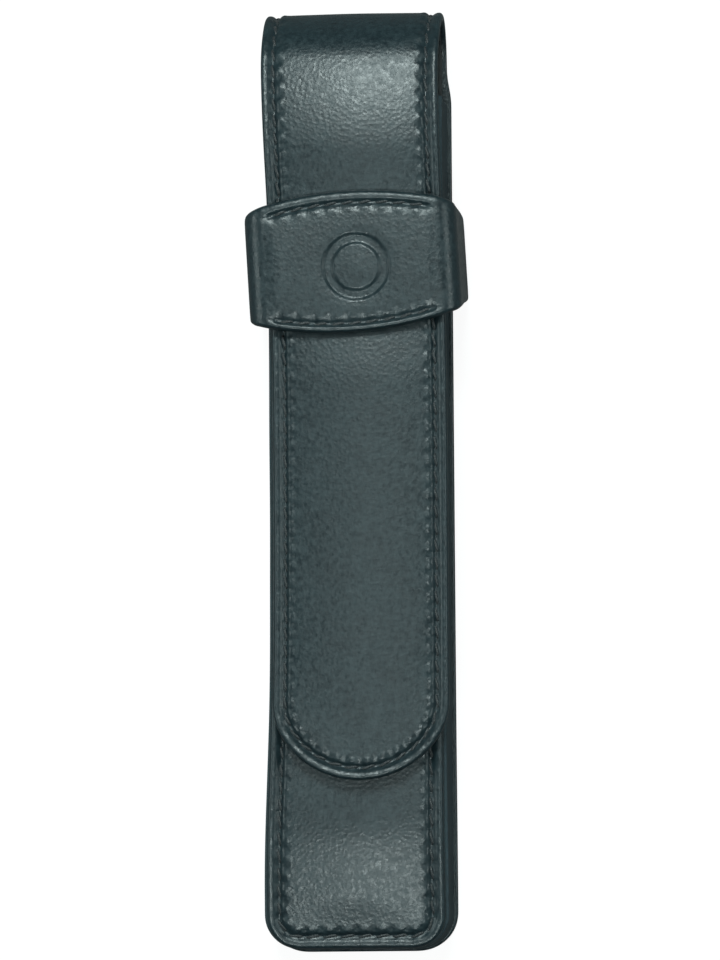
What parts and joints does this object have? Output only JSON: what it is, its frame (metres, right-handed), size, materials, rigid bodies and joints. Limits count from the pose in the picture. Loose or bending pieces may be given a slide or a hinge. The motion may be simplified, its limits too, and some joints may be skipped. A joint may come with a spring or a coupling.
{
  "type": "pen sleeve",
  "caption": "Slim black leather sleeve for a single pen, with a gusseted pouch and a long round-ended flap that folds over the top and tucks under a sewn band.",
  "frame": {"origin": "middle of the sleeve's outline on the plane that its back lies on", "axes": "+X to the right seen from the front, +Y towards the fold at the top, +Z out of the front"},
  "size_m": [0.0366, 0.165, 0.0205],
  "materials": {
    "black_leather": "smooth grained, soft sheen",
    "dark_lining": "matt split suede",
    "board": "matt",
    "felt_padding": "matt felt",
    "thread": "waxed thread"
  },
  "bodies": {
    "pouch": {"back_panel": "black_leather", "back_stiffener": "board", "back_lining": "dark_lining", "back_seam_thread": "thread", "gusset": "black_leather", "front_panel": "black_leather", "front_stiffener": "board", "front_lining": "dark_lining", "front_seam_thread": "thread", "mouth_thread": "thread", "band": "black_leather", "band_lining": "dark_lining", "band_upper_thread": "thread", "band_lower_thread": "thread"},
    "crown_rear": {"crown_rear_leather": "black_leather", "crown_rear_lining": "dark_lining"},
    "crown_top": {"crown_top_leather": "black_leather", "crown_top_lining": "dark_lining"},
    "crown_front": {"crown_front_leather": "black_leather", "crown_front_lining": "dark_lining"},
    "flap": {"flap_leather": "black_leather", "flap_padding": "felt_padding", "flap_lining": "dark_lining", "flap_thread": "thread"},
    "tail": {"tail_leather": "black_leather", "tail_padding": "felt_padding", "tail_lining": "dark_lining", "tail_thread": "thread"}
  },
  "joints": [
    {"name": "flap_open", "type": "hinge", "parent": "pouch", "child": "crown_rear", "pos_m": [0, 0.07685, 0.0007], "axis": [-1, 0, 0], "range_deg": [0, 45], "deforming": ["band", "band_lining", "band_upper_thread", "band_lower_thread"]},
    {"name": "fold_roll_2", "type": "hinge", "parent": "crown_rear", "child": "crown_top", "pos_m": [0, 0.0818, 0.00565], "axis": [-1, 0, 0], "range_deg": [0, 45]},
    {"name": "fold_roll_3", "type": "hinge", "parent": "crown_top", "child": "crown_front", "pos_m": [0, 0.0818, 0.01265], "axis": [-1, 0, 0], "range_deg": [0, 45]},
    {"name": "fold_roll_4", "type": "hinge", "parent": "crown_front", "child": "flap", "pos_m": [0, 0.07685, 0.0176], "axis": [-1, 0, 0], "range_deg": [0, 45]},
    {"name": "tail_lift", "type": "hinge", "parent": "flap", "child": "tail", "pos_m": [0, 0.0229, 0.0183], "axis": [-1, 0, 0], "range_deg": [0, 110]}
  ],
  "couplings": [
    {"joint": "fold_roll_2", "follows": "flap_open", "ratio": 1},
    {"joint": "fold_roll_3", "follows": "flap_open", "ratio": 1},
    {"joint": "fold_roll_4", "follows": "flap_open", "ratio": 1}
  ]
}
